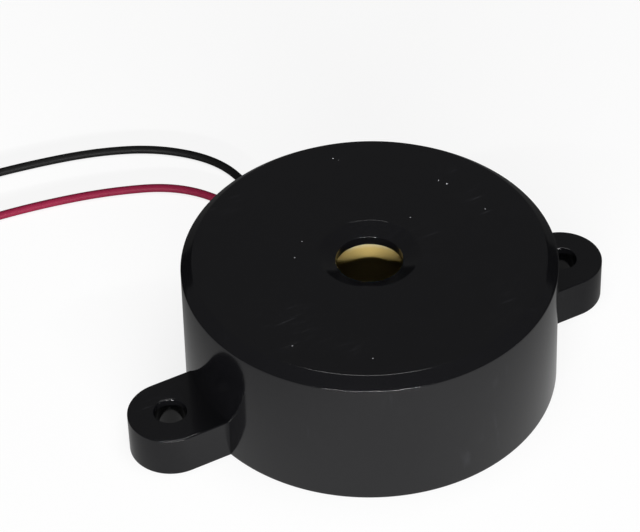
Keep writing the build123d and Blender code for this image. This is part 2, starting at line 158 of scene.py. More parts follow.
class LeadSettings(PropertyGroup):
    diameter: FloatProperty(name="Lead diameter", default=1.0 * MM, unit="LENGTH",
                            description="Outer diameter of the insulation")
    black_dark: tone("Black lead, dark tone", "#141414", "Its insulation at its darkest")
    black_light: tone("Black lead, light tone", "#1c1c1c", "Its insulation at its lightest")
    red_dark: tone("Red lead, dark tone", "#7a1b35", "Its insulation at its darkest")
    red_light: tone("Red lead, light tone", "#8c2340", "Its insulation at its lightest")


class StudioSettings(PropertyGroup):
    strips: FloatProperty(name="Front strips", default=0.29, min=0,
                          description="Light of the low front lamps on a level surface")
    disc_beams: FloatProperty(name="Disc beams", default=1.3, min=0,
                              description="Light of the narrow beams aimed at the sound hole")
    disc_beams_low: FloatProperty(name="Low disc beams", default=2.4, min=0,
                                  description="Light of the lower narrow beams")
    softbox: FloatProperty(name="Softbox", default=0.03, min=0,
                           description="Brightness of the wide softbox that the case mirrors")
    edge: FloatProperty(name="Edge light", default=0.10, min=0,
                        description="Light of the small lamp that draws the case's upper edges")
    fill: FloatProperty(name="Fill", default=0.55, min=0,
                        description="Light of the soft overhead lamp on a level surface")


class BuzzerSettings(PropertyGroup):
    """The buzzer's settings, by group"""
    case: PointerProperty(type=CaseSettings, name="Case",
                          description="Sizes and colours of the moulded case")
    leads: PointerProperty(type=LeadSettings, name="Leads",
                           description="Diameter and colours of the leads")
    studio: PointerProperty(type=StudioSettings, name="Studio",
                            description="Levels of the lamps")


def settings():
    return bpy.context.scene.buzzer


# ------------------------------------------------------------------ material tools
def add(tree, kind, inputs=None, **attributes):
    """One node: attributes are set on it, and inputs maps a socket to a value or an output."""
    made = tree.nodes.new(kind)
    for name, value in attributes.items():
        setattr(made, name, value)
    for socket, value in (inputs or {}).items():
        if isinstance(value, bpy.types.NodeSocket):
            tree.links.new(value, made.inputs[socket])
        else:
            made.inputs[socket].default_value = value
    return made


def material(name, **shader):
    """A new material with a Principled shader; returns it, its tree and the shader."""
    made = bpy.data.materials.new(name)
    made.use_nodes = True
    tree = made.node_tree
    tree.nodes.clear()
    principled = add(tree, "ShaderNodeBsdfPrincipled", shader)
    add(tree, "ShaderNodeOutputMaterial", {"Surface": principled.outputs["BSDF"]})
    return made, tree, principled


def grain(size_mm):
    """Texture scale for a feature of this size, on object coordinates in metres."""
    return 1000.0 / size_mm


def noise(tree, size_mm, detail=2.0, **inputs):
    place = add(tree, "ShaderNodeTexCoord")
    return add(tree, "ShaderNodeTexNoise", {
        "Vector": place.outputs["Object"], "Scale": grain(size_mm), "Detail": detail, **inputs,
    })


def remap(tree, value, low, high, to_low, to_high):
    return add(tree, "ShaderNodeMapRange", {
        "Value": value, "From Min": low, "From Max": high, "To Min": to_low, "To Max": to_high,
    }).outputs["Result"]


def tint(tree, factor, dark, light):
    """Colour between two linear RGBA colours."""
    mixed = add(tree, "ShaderNodeMix", {"Factor": factor}, data_type="RGBA")
    mixed.inputs["A"].default_value = dark
    mixed.inputs["B"].default_value = light
    return mixed.outputs["Result"]


def bump(tree, shader, height, depth_mm, strength=1.0):
    made = add(tree, "ShaderNodeBump", {
        "Height": height, "Distance": depth_mm * MM, "Strength": strength,
    })
    tree.links.new(made.outputs["Normal"], shader.inputs["Normal"])


def connect(tree, output, shader, socket):
    tree.links.new(output, shader.inputs[socket])


# ------------------------------------------------------------------ materials
# Dust specks on the top, (x, y, radius) in millimetres
DUST = [(4.5, 16.5, 0.09), (4.9, 15.9, 0.05), (13.0, 7.0, 0.07), (13.5, 6.0, 0.11), (15.0, 0.0, 0.08),
        (7.0, 3.0, 0.07), (-5.5, 5.5, 0.07), (-7.5, 3.5, 0.06), (-14.5, -9.0, 0.06),
        (-8.0, -15.0, 0.07)]


def specks(tree, places, height):
    """1 inside small irregular spots at these places, 0 elsewhere."""
    place = add(tree, "ShaderNodeTexCoord")
    ragged = noise(tree, 0.12, 1.0)
    found = None
    for x, y, radius in places:
        far = add(tree, "ShaderNodeVectorMath", {0: place.outputs["Object"],
                                                 1: (x * MM, y * MM, height)},
                  operation="DISTANCE")
        edge = remap(tree, ragged.outputs["Fac"], 0.3, 0.7, 0.6 * radius * MM, 1.3 * radius * MM)
        inside = add(tree, "ShaderNodeMath", {0: far.outputs["Value"], 1: edge},
                     operation="LESS_THAN").outputs[0]
        if found is None:
            found = inside
        else:
            found = add(tree, "ShaderNodeMath", {0: found, 1: inside},
                        operation="MAXIMUM").outputs[0]
    return found


def scuffs(tree):
    """Faint rubbed streaks, in one direction and in patches."""
    place = add(tree, "ShaderNodeTexCoord")
    along = add(tree, "ShaderNodeMapping", {
        "Vector": place.outputs["Object"], "Rotation": (0, 0, math.radians(25)),
        "Scale": (grain(3.0), grain(0.18), grain(3.0)),
    })
    streak = add(tree, "ShaderNodeTexNoise", {"Vector": along.outputs["Vector"], "Scale": 1.0,
                                              "Detail": 2.0})
    patch = noise(tree, 7.0, 1.0)
    thin = remap(tree, streak.outputs["Fac"], 0.60, 0.72, 0.0, 1.0)
    here = remap(tree, patch.outputs["Fac"], 0.55, 0.68, 0.0, 1.0)
    return add(tree, "ShaderNodeMath", {0: thin, 1: here}, operation="MULTIPLY").outputs[0]


def moulded_abs():
    """Black ABS from a polished mould: semi-gloss, a faint orange peel, dust and scuffs on top."""
    mat, tree, shader = material("moulded_abs_black", IOR=1.46)
    fine = noise(tree, 0.35, 3.0)
    peel = noise(tree, 2.4, 1.0)
    dust = specks(tree, DUST, CASE_HIGH.z)
    scuff = scuffs(tree)
    case = settings().case
    plain = tint(tree, peel.outputs["Fac"], case.dark, case.light)
    rubbed = add(tree, "ShaderNodeMix", {"Factor": scuff, "A": plain}, data_type="RGBA")
    rubbed.inputs["B"].default_value = linear("#1c1c1f")
    colour = add(tree, "ShaderNodeMix", {"Factor": dust, "A": rubbed.outputs["Result"]},
                 data_type="RGBA")
    colour.inputs["B"].default_value = linear("#b9b9bd")
    connect(tree, colour.outputs["Result"], shader, "Base Color")
    gloss = remap(tree, fine.outputs["Fac"], 0.3, 0.7, 0.08, 0.12)
    worn = add(tree, "ShaderNodeMath", {0: scuff, 1: 0.12, 2: gloss}, operation="MULTIPLY_ADD")
    rough = add(tree, "ShaderNodeMath", {0: dust, 1: 0.7, 2: worn.outputs[0]},
                operation="MULTIPLY_ADD")
    connect(tree, rough.outputs[0], shader, "Roughness")
    bump(tree, shader, peel.outputs["Fac"], 0.0015, 0.5)
    return mat


def rolled_brass():
    """Rolled brass sheet: bright yellow metal, faint grain along the rolling direction."""
    mat, tree, shader = material("rolled_brass", Metallic=1.0)
    place = add(tree, "ShaderNodeTexCoord")
    stretched = add(tree, "ShaderNodeMapping", {
        "Vector": place.outputs["Object"], "Scale": (grain(4.0), grain(0.12), grain(1.0)),
    })
    lines = add(tree, "ShaderNodeTexNoise", {"Vector": stretched.outputs["Vector"], "Scale": 1.0})
    connect(tree, tint(tree, lines.outputs["Fac"], linear("#c6b579"), linear("#cfbe84")),
            shader, "Base Color")
    connect(tree, remap(tree, lines.outputs["Fac"], 0.3, 0.7, 0.84, 0.92), shader, "Roughness")
    bump(tree, shader, lines.outputs["Fac"], 0.002, 0.4)
    return mat


def finish(name, dark, light, rough, grain_mm, bump_mm, detail=3.0, **shader_values):
    """Finish with uneven colour, roughness and relief, all at one grain size."""
    mat, tree, shader = material(name, **shader_values)
    speckle = noise(tree, grain_mm, detail)
    factor = speckle.outputs["Fac"]
    connect(tree, tint(tree, factor, dark, light), shader, "Base Color")
    connect(tree, remap(tree, factor, 0.3, 0.7, rough - 0.05, rough + 0.05), shader, "Roughness")
    bump(tree, shader, factor, bump_mm, 0.5)
    return mat


def black_pvc():
    """Extruded PVC insulation: satin, with the slight waviness of a thin extrusion."""
    leads = settings().leads
    return finish("pvc_black", leads.black_dark, leads.black_light, 0.52, 1.6, 0.01,
                  **{"IOR": 1.53, "Specular IOR Level": 0.15})


def red_pvc():
    """The same insulation in crimson."""
    leads = settings().leads
    return finish("pvc_red", leads.red_dark, leads.red_light, 0.52, 1.6, 0.01,
                  **{"IOR": 1.53, "Specular IOR Level": 0.15})


def potting_resin():
    """Black epoxy poured into the back: glossy, with shallow flow waves and a few pits."""
    mat, tree, shader = material("potting_resin", IOR=1.55)
    waves = noise(tree, 9.0, 1.5)
    place = add(tree, "ShaderNodeTexCoord")
    pits = add(tree, "ShaderNodeTexVoronoi", {"Vector": place.outputs["Object"],
                                              "Scale": grain(3.2)})
    pit = remap(tree, pits.outputs["Distance"], 0.04, 0.12, 0.0, 1.0)
    shape = add(tree, "ShaderNodeMath", {0: waves.outputs["Fac"], 1: pit}, operation="MULTIPLY")
    connect(tree, tint(tree, waves.outputs["Fac"], linear("#0d0d0e"), linear("#17171a")),
            shader, "Base Color")
    connect(tree, remap(tree, pit, 0.0, 1.0, 0.5, 0.17), shader, "Roughness")
    bump(tree, shader, shape.outputs[0], 0.12, 0.7)
    return mat


def enamelled_copper():
    """Magnet wire: copper under a clear amber enamel."""
    return finish("enamelled_copper", linear("#8e3f1c"), linear("#b4622e"), 0.3, 0.5, 0.004, Metallic=1.0,
                  **{"Coat Weight": 0.6, "Coat Roughness": 0.15})


def ferrite():
    """Sintered ferrite: dark grey and finely granular."""
    return finish("ferrite", linear("#26262a"), linear("#3a3a3e"), 0.62, 0.12, 0.01)


def shrink_sleeve():
    """Black heat-shrink tube, drawn tight and satin."""
    return finish("shrink_sleeve", linear("#101011"), linear("#1a1a1b"), 0.42, 1.1, 0.02)


def piezo_ceramic():
    """Sintered zirconate titanate: matt, pale yellow grey."""
    return finish("piezo_ceramic", linear("#b9b097"), linear("#cdc5ae"), 0.7, 0.15, 0.003)


def fired_silver():
    """Screen-printed silver paste, fired: dull white metal with a woven print texture."""
    return finish("fired_silver", linear("#c9c8c3"), linear("#e2e1dd"), 0.5, 0.25, 0.004, Metallic=1.0)


def white_silicone():
    """Cured silicone sealant: soft white, slightly lumpy."""
    return finish("white_silicone", linear("#dcdad2"), linear("#ecebe6"), 0.45, 1.5, 0.05)


def phenolic_paper():
    """Phenolic paper laminate: tan brown with the mottle of its paper."""
    return finish("phenolic_paper", linear("#8a5f2e"), linear("#a87c44"), 0.55, 0.6, 0.006)


def etched_copper():
    """Copper foil left after etching, a little oxidised."""
    return finish("etched_copper", linear("#a8573a"), linear("#c9795a"), 0.38, 0.9, 0.002, Metallic=1.0)


def solder():
    """Tin-lead solder, bright where it flowed and grey where it froze last."""
    return finish("solder", linear("#a2a3a6"), linear("#c6c7ca"), 0.3, 0.7, 0.02, Metallic=1.0)


def tinned_copper():
    """Copper wire with a thin tin plating."""
    return finish("tinned_copper", linear("#b3b2ae"), linear("#cfcecb"), 0.28, 0.3, 0.003, Metallic=1.0)


def moulding_epoxy():
    """Black moulding compound of a small transistor or diode: matt, fine grained."""
    return finish("moulding_epoxy", linear("#131314"), linear("#1c1c1d"), 0.6, 0.1, 0.006)


def resistor_lacquer():
    """Beige dipped lacquer, rather glossy."""
    return finish("resistor_lacquer", linear("#b99c6c"), linear("#c8ad80"), 0.3, 0.8, 0.008)


def hookup_insulation():
    """Thin white hook-up insulation."""
    return finish("hookup_insulation", linear("#c9c7c0"), linear("#dddbd4"), 0.4, 1.0, 0.006)


def band_paint(name, dark, light):
    """Colour band printed on a component, a little uneven."""
    return finish(name, linear(dark), linear(light), 0.35, 0.5, 0.004)


# ------------------------------------------------------------------ mesh tools
def arc_corner(before, corner, after, radius, steps=5):
    """Points of a rounded corner in a (radius, height) outline."""
    a, c, b = Vector(before), Vector(corner), Vector(after)
    to_a, to_b = (a - c).normalized(), (b - c).normalized()
    half = to_a.angle(to_b) / 2
    reach = radius / math.tan(half)
    start, end = c + to_a * reach, c + to_b * reach
    centre = c + (to_a + to_b).normalized() * radius / math.sin(half)
    first, last = start - centre, end - centre
    sweep = first.angle(last)
    points = []
    for i in range(steps + 1):
        t = i / steps
        mixed = (first * math.sin((1 - t) * sweep) + last * math.sin(t * sweep)) / math.sin(sweep)
        points.append(tuple(centre + mixed))
    return points


def outline(points, rounds, support=0.25 * MM):
    """Closed outline with rounded corners, and a support point beside each on a long side."""
    result = []
    count = len(points)
    for i, corner in enumerate(points):
        before, after = Vector(points[i - 1]), Vector(points[(i + 1) % count])
        here = Vector(corner)
        radius = rounds.get(i, 0)
        rounded = arc_corner(before, corner, after, radius) if radius else [corner]
        reach = support + (Vector(rounded[0]) - here).length
        if (before - here).length > 4 * reach:
            result.append(tuple(here + (before - here).normalized() * reach))
        result += rounded
        if (after - here).length > 4 * reach:
            result.append(tuple(here + (after - here).normalized() * reach))
    return result


def lathe(mesh, profile, segments, centre=(0, 0)):
    """Adds a closed (radius, height) profile turned round a vertical axis."""
    rings = []
    for radius, height in profile:
        if radius < 1e-7:
            rings.append([mesh.verts.new((centre[0], centre[1], height))])
            continue
        rings.append([
            mesh.verts.new((centre[0] + radius * math.cos(TAU * k / segments),
                            centre[1] + radius * math.sin(TAU * k / segments), height))
            for k in range(segments)
        ])
    pairs = list(zip(rings, rings[1:]))
    if len(rings[0]) > 1:
        pairs.append((rings[-1], rings[0]))
    for low, high in pairs:
        for k in range(segments):
            n = (k + 1) % segments
            corners = [low[k % len(low)], low[n % len(low)], high[n % len(high)], high[k % len(high)]]
            distinct = list(dict.fromkeys(corners))
            if len(distinct) > 2:
                mesh.faces.new(distinct)
    bmesh.ops.recalc_face_normals(mesh, faces=mesh.faces)


def new_object(name, mesh, mat, smooth_angle=30):
    data = bpy.data.meshes.new(name)
    mesh.to_mesh(data)
    mesh.free()
    data.materials.append(mat)
    made = bpy.data.objects.new(name, data)
    bpy.context.scene.collection.objects.link(made)
    shade(made, smooth_angle)
    return made


def shade(made, smooth_angle):
    made.data.polygons.foreach_set("use_smooth", [True] * len(made.data.polygons))
    made.data.set_sharp_from_angle(angle=math.radians(smooth_angle))


def combine(base, tool, operation):
    """Applies a Boolean of tool on base, and removes the tool."""
    step = base.modifiers.new(operation, "BOOLEAN")
    step.operation = operation
    step.solver = "EXACT"
    step.object = tool
    bpy.context.view_layer.update()
    done = bpy.data.meshes.new_from_object(base.evaluated_get(bpy.context.evaluated_depsgraph_get()))
    if not done.polygons:
        raise RuntimeError(f"{operation} of {tool.name} on {base.name} left nothing")
    base.modifiers.clear()
    old = base.data
    base.data = done
    bpy.data.meshes.remove(old)
    bpy.data.objects.remove(tool)


def temporary(name, mesh):
    data = bpy.data.meshes.new(name)
    mesh.to_mesh(data)
    mesh.free()
    made = bpy.data.objects.new(name, data)
    bpy.context.scene.collection.objects.link(made)
    return made


# ------------------------------------------------------------------ case
def case_profile(case):
    """Closed (radius, height) outline of the case, from the foot of the wall round to its bore."""
    height = CASE_HIGH.z
    board_bore = BOARD_HIGH.y + FIT
    recess = DISC_HIGH.y + FIT
    plate_bottom = DISC_HIGH.z + FRONT_CAVITY
    recess_bottom = DISC_HIGH.z - RECESS_DEPTH
    points = [
        (CASE_HIGH.y, 0),
        (case.top_radius, height - case.rim_height),
        (case.top_radius - case.rim_width, height),
        (case.dish_radius, height),
        (case.hole_radius, height - case.dish_depth),
        (case.hole_radius, plate_bottom),
        (CAVITY_RADIUS, plate_bottom),
        (CAVITY_RADIUS, DISC_HIGH.z),
        (recess, DISC_HIGH.z),
        (recess, recess_bottom),
        (COMPONENT_BORE, recess_bottom - RECESS_LEAD_IN),
        (COMPONENT_BORE, BOARD_HIGH.z),
        (board_bore, BOARD_HIGH.z),
        (board_bore, 0),
    ]
    rounds = {
        0: 0.1 * MM, 1: case.edge_round, 2: case.edge_round, 3: 0.1 * MM, 4: 0.12 * MM,
        5: 0.1 * MM, 13: 0.1 * MM,
    }
    return outline(points, rounds)


def rounded_edge(radius):
    """(inset, height) points of the quarter round at an ear's top, from its foot up."""
    angles = [math.pi / 2 * i / ROUND_STEPS for i in range(ROUND_STEPS + 1)]
    return [(radius * (1 - math.cos(a)), EAR_TOP - radius * (1 - math.sin(a))) for a in angles]


def ear_prism(side, case):
    """Solid ear from inside the wall out to its round end, its top edge rounded."""
    end = side * EAR_PITCH / 2
    half = case.ear_width / 2
    root = side * EAR_ROOT
    steps = 64
    path = [(end + side * half * math.cos(a), half * math.sin(a))
            for a in [math.pi * (i / steps - 0.5) for i in range(steps + 1)]]
    path += [(root, half), (root, -half)]
    if side < 0:
        path.reverse()
    mesh = bmesh.new()
    levels = [(0.0, 0.0), *rounded_edge(EAR_EDGE_ROUND)]
    rings = []
    for inset, level in levels:
        ring = []
        scale = (half - inset) / half
        for x, y in path:
            at_root = abs(x - root) < 1e-9
            new_x = x if at_root else end + (x - end) * scale
            ring.append(mesh.verts.new((new_x, y * scale, level)))
        rings.append(ring)
    for low, high in zip(rings, rings[1:]):
        for k in range(len(low)):
            n = (k + 1) % len(low)
            mesh.faces.new((low[k], low[n], high[n], high[k]))
    mesh.faces.new(rings[-1])
    mesh.faces.new(list(reversed(rings[0])))
    bmesh.ops.recalc_face_normals(mesh, faces=mesh.faces)
    return temporary("ear", mesh)


def screw_cutter(side):
    """Shape of a screw hole with a softly broken upper edge."""
    flare = [(EAR_HOLE_RADIUS + out, level) for out, level in rounded_edge(SCREW_EDGE_ROUND)]
    profile = [(0, -OVERCUT), (EAR_HOLE_RADIUS, -OVERCUT), *flare,
               (EAR_HOLE_RADIUS + SCREW_EDGE_ROUND, EAR_TOP + OVERCUT), (0, EAR_TOP + OVERCUT)]
    mesh = bmesh.new()
    lathe(mesh, profile, 96, (side * EAR_PITCH / 2, 0))
    return temporary("screw_cutter", mesh)


def slot_cutter():
    """Block that cuts the lead slot through the foot of the wall."""
    mesh = bmesh.new()
    bmesh.ops.create_cube(mesh, size=1.0)
    for vert in mesh.verts:
        vert.co.x *= SLOT_WIDTH
        vert.co.y = COMPONENT_BORE if vert.co.y < 0 else CASE_HIGH.y + OVERCUT
        vert.co.z = -OVERCUT if vert.co.z < 0 else SLOT_HEIGHT
    return temporary("slot_cutter", mesh)


class BUZZER_OT_case(Operator):
    """Build the moulded case with its ears, sound hole and lead slot"""
    bl_idname = "buzzer.case"
    bl_label = "Moulded case"

    def execute(self, context):
        case = settings().case
        mesh = bmesh.new()
        lathe(mesh, case_profile(case), case.segments)
        made = new_object("case", mesh, moulded_abs())
        for side in (-1, 1):
            combine(made, ear_prism(side, case), "UNION")
            combine(made, screw_cutter(side), "DIFFERENCE")
        combine(made, slot_cutter(), "DIFFERENCE")
        shade(made, 28)
        flatten = made.modifiers.new("flat_faces", "WEIGHTED_NORMAL")
        flatten.keep_sharp = True
        flatten.weight = 100
        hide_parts("housing")
        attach(made, BODY)
        return {"FINISHED"}


# ------------------------------------------------------------------ sounding element
def dress(node, mat):
    """Gives a CAD node this material, in place of the ones it was packed with."""
    data = frame["nodes"][node].data
    data.materials.clear()
    data.materials.append(mat)
    data.polygons.foreach_set("material_index", [0] * len(data.polygons))


class BUZZER_OT_element(Operator):
    """Build the brass disc, and finish the ceramic, silver, adhesive and solder"""
    bl_idname = "buzzer.element"
    bl_label = "Sounding element"

    def execute(self, context):
        disc = bmesh.new()
        radius = DISC_HIGH.y
        burr = 0.06 * MM
        profile = outline([(0, DISC_LOW.z), (radius, DISC_LOW.z), (radius, DISC_HIGH.z),
                           (0, DISC_HIGH.z)], {1: burr, 2: burr})
        lathe(disc, profile, 192)
        made = new_object("sounding_disc", disc, rolled_brass())
        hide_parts("diaphragm")
        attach(made, BODY)
        silver = fired_silver()
        dress("piezo_ceramic", piezo_ceramic())
        dress("drive_electrode", silver)
        dress("feedback_electrode", silver)
        dress("adhesive_bead", white_silicone())
        dress("element_solder", solder())
        return {"FINISHED"}


# ------------------------------------------------------------------ circuit
BAND_STARTS = (-1.4, -0.6, 0.2, 1.0)    # of a resistor's colour bands from its middle, in mm
BAND_WIDTH = 0.4 * MM
CATHODE_WIDTH = 0.9 * MM
COIL_TURNS = 16                         # visible turns of the winding's outer layer
COIL_NECK = 1.6 * MM                    # radius of the core inside the winding


def centre(node):
    low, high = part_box(node)
    return (low + high) / 2


def turn_along_x(mesh, profile, segments, place, turn=0.0):
    """Adds a closed (radius, along) profile turned round a level axis through place."""
    lathe(mesh, profile, segments)
    spin = Matrix.Rotation(turn, 4, "Z") @ Matrix.Rotation(math.pi / 2, 4, "Y")
    mesh.transform(Matrix.Translation(place) @ spin)


def paint_bands(made, place, axis, bands):
    """Gives faces between two distances along the axis a material of their own."""
    for start, end, mat in bands:
        made.data.materials.append(mat)
        index = len(made.data.materials) - 1
        for face in made.data.polygons:
            if start < (face.center - place).dot(axis) < end:
                face.material_index = index


class BUZZER_OT_circuit(Operator):
    """Build the coil, resistors and diode, and finish the transistor, the board and its joints"""
    bl_idname = "buzzer.circuit"
    bl_label = "Driver circuit"

    def winding(self):
        low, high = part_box("inductor_winding")
        place = (low + high) / 2
        outer = high.x - place.x
        wire = (high.z - low.z) / COIL_TURNS / 2
        profile = [(COIL_NECK, low.z)]
        for turn in range(COIL_TURNS):
            middle = low.z + wire * (2 * turn + 1)
            for step in range(ROUND_STEPS + 1):
                angle = math.pi * (step / ROUND_STEPS - 0.5)
                profile.append((outer - wire + wire * math.cos(angle),
                                middle + 0.98 * wire * math.sin(angle)))
        profile.append((COIL_NECK, high.z))
        mesh = bmesh.new()
        lathe(mesh, profile, 64, (place.x, place.y))
        made = new_object("coil_turns", mesh, enamelled_copper(), 60)
        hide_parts("inductor_winding")
        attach(made, BODY)

    def resistor(self, node, bands):
        low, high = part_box(node)
        place = centre(node)
        half = (high.x - low.x) / 2
        cap = (high.z - low.z) / 2
        waist = cap * 0.83
        end = 1.3 * MM
        profile = outline([(0, -half), (cap, -half), (cap, end - half),
                           (waist, end - half + 0.4 * MM), (waist, half - end - 0.4 * MM),
                           (cap, half - end), (cap, half), (0, half)],
                          {1: 0.35 * MM, 2: 0.2 * MM, 3: 0.2 * MM, 4: 0.2 * MM, 5: 0.2 * MM,
                           6: 0.35 * MM})
        starts = [start * MM for start in BAND_STARTS]
        profile = [point for point in profile if point[0] > 0]
        for start in starts:
            profile += [(waist, start), (waist, start + BAND_WIDTH)]
        profile.sort(key=lambda point: point[1])
        mesh = bmesh.new()
        turn_along_x(mesh, [(0, -half)] + profile + [(0, half)], 48, place)
        made = new_object(node.replace("_", "_body_"), mesh, resistor_lacquer())
        paint_bands(made, place, Vector((1, 0, 0)), [
            (start, start + BAND_WIDTH, band_paint(node + "_band_" + str(i), *tones))
            for i, (start, tones) in enumerate(zip(starts, bands))
        ])
        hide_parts(node)
        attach(made, BODY)

    def diode(self):
        low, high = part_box("diode")
        place = centre("diode")
        half = (high.y - low.y) / 2
        radius = (high.z - low.z) / 2
        stripe = half * 0.45
        stripe_end = stripe + CATHODE_WIDTH
        edge = 0.25 * MM
        profile = outline([(0, -half), (radius, -half), (radius, half), (0, half)],
                          {1: edge, 2: edge})
        profile = [point for point in profile if point[0] > 0]
        profile += [(radius, stripe), (radius, stripe_end)]
        profile.sort(key=lambda point: (point[1], point[0] if point[1] < 0 else -point[0]))
        mesh = bmesh.new()
        turn_along_x(mesh, [(0, -half)] + profile + [(0, half)], 48, place, math.pi / 2)
        made = new_object("diode_body", mesh, moulding_epoxy())
        paint_bands(made, place, Vector((0, 1, 0)), [
            (stripe, stripe_end, band_paint("cathode_band", "#bcbcb8", "#d2d2ce")),
        ])
        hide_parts("diode")
        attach(made, BODY)

    def execute(self, context):
        self.winding()
        self.diode()
        brown, black, orange = ("#61341a", "#764224"), ("#161616", "#222222"), ("#bb5018", "#d26224")
        red, yellow, violet = ("#801a1a", "#992626"), ("#b98d18", "#d2a428"), ("#502470", "#663488")
        gold = ("#9a7826", "#b48f34")
        bands = {
            "resistor_bias": (brown, black, orange, gold),
            "resistor_feedback": (brown, black, red, gold),
            "resistor_load": (yellow, violet, red, gold),
        }
        for node, colours in bands.items():
            self.resistor(node, colours)
        joint, plating = solder(), tinned_copper()
        dress("circuit_board", phenolic_paper())
        dress("copper_tracks", etched_copper())
        dress("board_solder", joint)
        dress("inductor_core", ferrite())
        dress("inductor_sleeve", shrink_sleeve())
        dress("transistor_body", moulding_epoxy())
        for node in ("inductor_legs", "diode_legs", "transistor_legs", "resistor_bias_legs",
                     "resistor_feedback_legs", "resistor_load_legs", "black_lead_core",
                     "red_lead_core"):
            dress(node, plating)
        insulation = hookup_insulation()
        for node in ("hookup_wire_disc", "hookup_wire_drive", "hookup_wire_feedback"):
            dress(node, insulation)
        dress("resin_seal", potting_resin())
        return {"FINISHED"}


# ------------------------------------------------------------------ leads
def insulation_curve(name, route, mat):
    data = bpy.data.curves.new(name, "CURVE")
    data.dimensions = "3D"
    data.bevel_depth = settings().leads.diameter / 2
    data.bevel_resolution = 8
    data.resolution_u = 24
    data.use_fill_caps = True
    spline = data.splines.new("NURBS")
    spline.points.add(len(route) - 1)
    for point, place in zip(spline.points, route):
        point.co = (*place, 1.0)
    spline.order_u = 3
    spline.use_endpoint_u = True
    data.materials.append(mat)
    made = bpy.data.objects.new(name, data)
    bpy.context.scene.collection.objects.link(made)
    return made


def twisted_tip(name, route, mat):
    """Stranded end, twisted and tinned: six lobes that wind round the wire."""
    start = Vector(route[-1])
    along = (start - Vector(route[-2])).normalized()
    side = along.cross(Vector((0, 0, 1))).normalized()
    up = side.cross(along)
    around, steps = 48, 60
    mesh = bmesh.new()
    rings = []
    for step in range(steps + 1):
        far = TIP_LENGTH * step / steps
        left = min(1.0, (TIP_LENGTH - far) / TIP_RADIUS)
        taper = math.sqrt(max(0.0, 1 - (1 - left) ** 2)) * 0.9 + 0.1
        ring = []
        for k in range(around):
            angle = TAU * k / around
            lobe = abs(math.cos(TIP_LOBES * (angle - TAU * far / TIP_PITCH)))
            reach = TIP_RADIUS * (1 - STRAND_RELIEF + STRAND_RELIEF * lobe) * taper
            ring.append(mesh.verts.new(start + along * far + side * (reach * math.cos(angle))
                                       + up * (reach * math.sin(angle))))
        rings.append(ring)
    for low, high in zip(rings, rings[1:]):
        for k in range(around):
            n = (k + 1) % around
            mesh.faces.new((low[k], low[n], high[n], high[k]))
    mesh.faces.new(rings[0])
    mesh.faces.new(list(reversed(rings[-1])))
    bmesh.ops.recalc_face_normals(mesh, faces=mesh.faces)
    return new_object(name, mesh, mat, 50)


class BUZZER_OT_leads(Operator):
    """Lay the red and the black lead with their tinned ends"""
    bl_idname = "buzzer.leads"
    bl_label = "Leads"

    def execute(self, context):
        finishes = {"black": black_pvc(), "red": red_pvc()}
        plating = tinned_copper()
        for colour, route in (("black", BLACK_ROUTE), ("red", RED_ROUTE)):
            made = insulation_curve(colour + "_wire", route, finishes[colour])
            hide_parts(colour + "_lead")
            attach(made, BODY)
            tip = twisted_tip(colour + "_wire_end", route, plating)
            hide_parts(colour + "_lead_tip")
            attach(tip, BODY)
        return {"FINISHED"}


# ------------------------------------------------------------------ studio
CAMERA_AZIMUTH = math.radians(-27.44)
CAMERA_ELEVATION = math.radians(41.42)
CAMERA_ROLL = math.radians(-1.82)
CAMERA_DISTANCE = 0.3399
CAMERA_SHIFT = (0.00586, -0.01132)      # where the origin lies in the picture plane
CAMERA_LENS = 166.88
SENSOR = 36.0


def studio_camera():
    az, el = CAMERA_AZIMUTH, CAMERA_ELEVATION
    back = Vector((math.sin(az) * math.cos(el), -math.cos(az) * math.cos(el), math.sin(el)))
    right = Vector((math.cos(az), math.sin(az), 0))
    up = back.cross(right)
    turned_right = right * math.cos(CAMERA_ROLL) + up * math.sin(CAMERA_ROLL)
    turned_up = up * math.cos(CAMERA_ROLL) - right * math.sin(CAMERA_ROLL)
    place = (back * CAMERA_DISTANCE - turned_right * CAMERA_SHIFT[0]
             - turned_up * CAMERA_SHIFT[1])
    data = bpy.data.cameras.new("camera")
    data.lens = CAMERA_LENS
    data.sensor_width = SENSOR
    data.sensor_fit = "HORIZONTAL"
    data.clip_start = 0.01
    camera = bpy.data.objects.new("camera", data)
    axes = Matrix((turned_right, turned_up, back)).transposed().to_4x4()
    camera.matrix_world = Matrix.Translation(place) @ axes
    bpy.context.scene.collection.objects.link(camera)
    bpy.context.scene.camera = camera


def direction(azimuth, elevation):
    """Unit vector from the object; azimuth 0 is the front, -Y, and grows towards +X."""
    return Vector((math.sin(azimuth) * math.cos(elevation), -math.cos(azimuth) * math.cos(elevation),
                   math.sin(elevation)))


def lamp(name, azimuth, elevation, distance, size, irradiance):
    """Soft lamp aimed at the object; irradiance is what a level surface there gets, over pi."""
    width, height = size
    data = bpy.data.lights.new(name, "AREA")
    data.shape = "RECTANGLE"
    data.size = width
    data.size_y = height
    solid_angle = width * height / distance ** 2
    radiance = irradiance * math.pi / (solid_angle * math.sin(elevation))
    data.energy = radiance * math.pi * width * height
    made = bpy.data.objects.new(name, data)
    back = direction(azimuth, elevation)
    side = Vector((math.cos(azimuth), math.sin(azimuth), 0))
    axes = Matrix((side, back.cross(side), back)).transposed().to_4x4()
    made.matrix_world = Matrix.Translation(back * distance) @ axes
    bpy.context.scene.collection.objects.link(made)
    return made


# The table in reflections: a painted pool of light that fades with distance from a point in front of the
# object
PAINTED_POOL_CENTRE = (-0.009, -0.029, 0.0)
PAINTED_POOL_NEAR = 0.006
PAINTED_POOL_FAR = 0.066
PAINTED_POOL_LEVELS = (0.70, 0.07)      # at the pool's centre, and far from it
TABLE_GLOW = 0.82               # to the camera
TABLE_SHADE = 0.22              # to the camera, where shadows can darken it
TABLE_WHITE = 0.8               # to light that bounces


